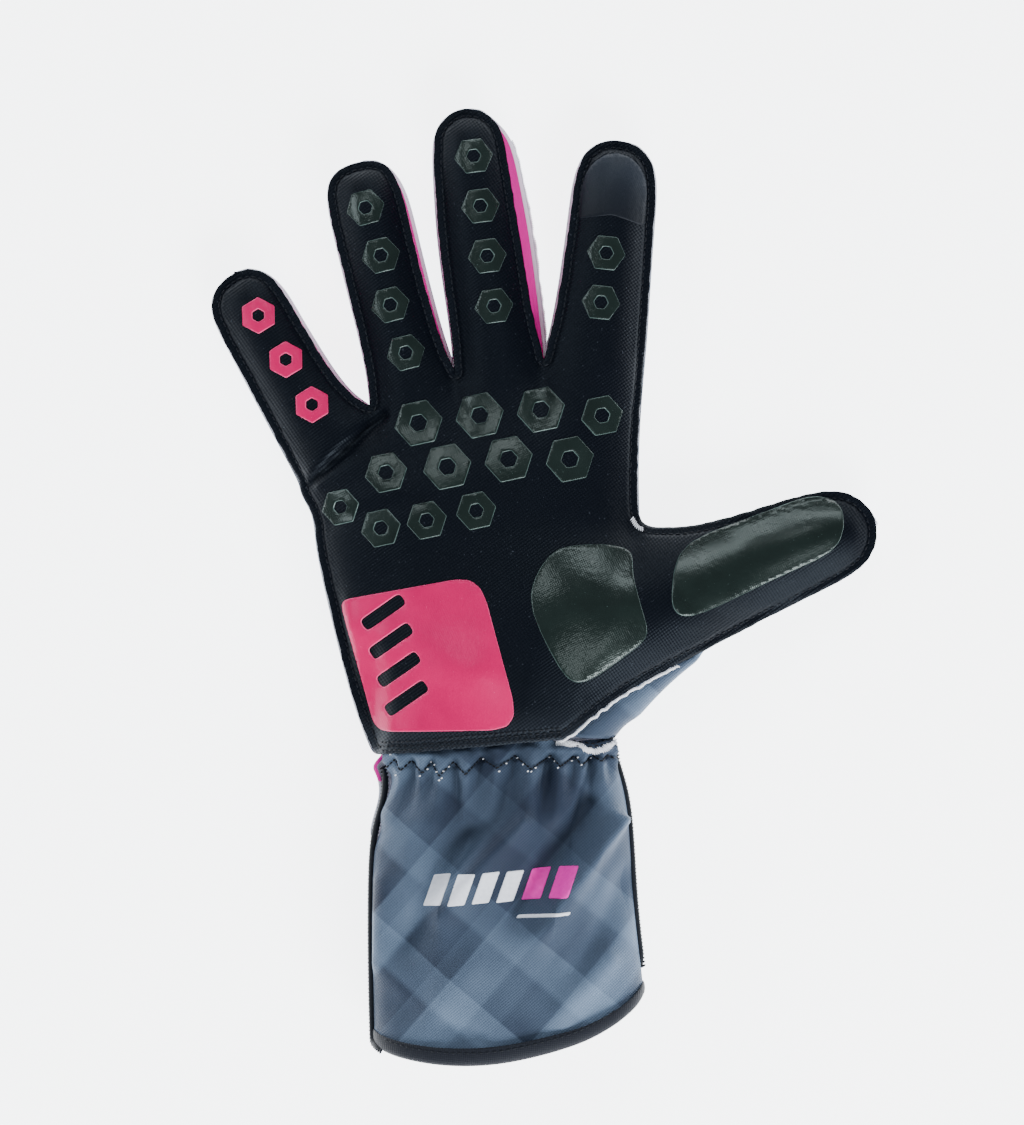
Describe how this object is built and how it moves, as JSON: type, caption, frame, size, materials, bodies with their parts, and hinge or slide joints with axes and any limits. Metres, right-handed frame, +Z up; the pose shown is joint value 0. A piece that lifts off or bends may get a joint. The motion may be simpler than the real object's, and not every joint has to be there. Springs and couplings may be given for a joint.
{
  "type": "sim racing glove",
  "caption": "Right-hand sim racing glove lying palm up, with silicone grip studs and pads, coloured finger walls and a gathered gauntlet cuff.",
  "frame": {"origin": "middle of the glove's box at the floor it lies on", "axes": "+Y from the cuff to the fingertips, +X towards the thumb, +Z up out of the palm"},
  "size_m": [0.2062, 0.2946, 0.0422],
  "materials": {
    "palm_cloth": "matte black woven stretch cloth",
    "back_cloth": "matte printed stretch cloth",
    "cuff_cloth": "matte printed stretch cloth",
    "wall_cloth": "matte stretch cloth",
    "binding_tape": "matte ribbed tape",
    "piping_cord": "matte white cord",
    "pink_silicone": "glossy printed silicone",
    "clear_silicone": "glossy clear silicone over black cloth",
    "touch_cloth": "satin conductive cloth"
  },
  "bodies": {
    "root": {"palm_panel": "palm_cloth", "back_panel": "back_cloth", "thumb_back": "back_cloth", "wall_little_ring": "wall_cloth", "wall_ring_middle": "wall_cloth", "wall_middle_index": "wall_cloth", "cuff_front": "cuff_cloth", "cuff_back": "cuff_cloth", "side_seam_left": "binding_tape", "side_seam_right": "binding_tape", "hem_binding": "binding_tape", "gusset_piping": "piping_cord", "stud_little_1": "pink_silicone", "stud_little_2": "pink_silicone", "stud_little_3": "pink_silicone", "stud_ring_1": "clear_silicone", "stud_ring_2": "clear_silicone", "stud_ring_3": "clear_silicone", "stud_ring_4": "clear_silicone", "stud_middle_1": "clear_silicone", "stud_middle_2": "clear_silicone", "stud_middle_3": "clear_silicone", "stud_middle_4": "clear_silicone", "stud_index_1": "clear_silicone", "stud_index_2": "clear_silicone", "stud_palm_1": "clear_silicone", "stud_palm_2": "clear_silicone", "stud_palm_3": "clear_silicone", "stud_palm_4": "clear_silicone", "stud_palm_5": "clear_silicone", "stud_palm_6": "clear_silicone", "stud_palm_7": "clear_silicone", "stud_palm_8": "clear_silicone", "stud_palm_9": "clear_silicone", "stud_palm_10": "clear_silicone", "stud_palm_11": "clear_silicone", "stud_palm_12": "clear_silicone", "heel_pad": "pink_silicone", "thumb_root_pad": "clear_silicone", "thumb_pad": "clear_silicone", "index_touch_pad": "touch_cloth"}
  },
  "joints": []
}
